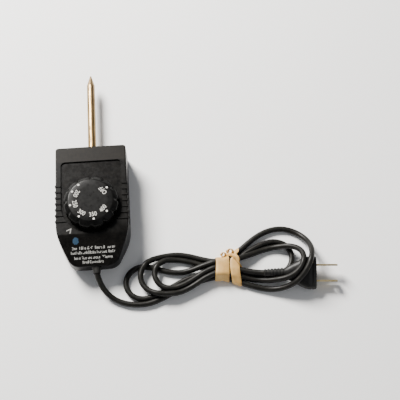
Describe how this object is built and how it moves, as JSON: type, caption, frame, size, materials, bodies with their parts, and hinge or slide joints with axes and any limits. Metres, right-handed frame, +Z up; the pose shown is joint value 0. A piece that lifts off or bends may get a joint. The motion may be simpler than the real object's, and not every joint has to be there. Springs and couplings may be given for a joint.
{
  "type": "plug-in probe temperature control",
  "caption": "Plug-in thermostat for an electric griddle: dial housing with a metal probe and terminals, and its mains cord folded in a banded hank.",
  "frame": {"origin": "on the surface the control lies on, under the middle of the housing and probe together", "axes": "+Y along the probe towards its tip, +Z up through the dial, +X to the right seen from above"},
  "size_m": [0.2253, 0.2124, 0.037],
  "materials": {
    "black_plastic": "moulded phenolic, satin with dust",
    "knob_plastic": "moulded, semi-gloss",
    "steel": "plated steel",
    "brass": "plain brass strip",
    "silver": "silver contact alloy",
    "probe_metal": "heat-stained metal sheath",
    "ceramic": "unglazed steatite",
    "mica": "mica sheet",
    "white_wire": "silicone sleeving",
    "dark_wire": "silicone sleeving",
    "red_wire": "silicone sleeving",
    "black_rubber": "matte moulded rubber",
    "cord_jacket": "smooth round thermoset jacket",
    "band_rubber": "natural latex band",
    "plug_vinyl": "moulded vinyl, satin",
    "brass_blade": "tarnished brass"
  },
  "bodies": {
    "root": {"upper_housing": "black_plastic", "lower_housing": "black_plastic", "shaft_bushing": "brass", "bushing_nut": "steel", "wave_washer": "steel", "probe_sheath": "probe_metal", "probe_collar": "steel", "sensing_rod": "steel", "push_pin": "ceramic", "thermostat_frame": "steel", "pivot_pin": "steel", "fixed_contact_arm": "brass", "fixed_contact": "silver", "arm_insulator": "ceramic", "arm_rivet": "steel", "terminal_block": "ceramic", "terminal_sleeve_left": "brass", "terminal_sleeve_right": "brass", "terminal_screws": "steel", "heat_shield": "mica", "ring_lugs": "steel", "lead_neutral": "white_wire", "lead_live": "dark_wire", "lead_load": "red_wire", "cord_clamp": "black_plastic", "clamp_screws": "steel", "housing_screws": "steel", "cord_grommet": "black_rubber", "cord_lead": "cord_jacket", "cord_hank": "cord_jacket", "rubber_band": "band_rubber", "plug_relief": "plug_vinyl", "plug_body": "plug_vinyl", "plug_blades": "brass_blade"},
    "dial": {"dial_knob": "knob_plastic", "control_shaft": "steel"},
    "lever": {"contact_lever": "brass", "moving_contact": "silver"}
  },
  "joints": [
    {"name": "dial_turn", "type": "hinge", "parent": "root", "child": "dial", "pos_m": [0, -0.0407, 0.0268], "axis": [0, 0, 1], "range_deg": [-90, 194]},
    {"name": "lever_tilt", "type": "hinge", "parent": "root", "child": "lever", "pos_m": [0, -0.05, 0.014], "axis": [1, 0, 0], "range_deg": [-0.4, 3], "stiffness_Nm_per_rad": 0.1, "springref_deg": 11.46}
  ]
}
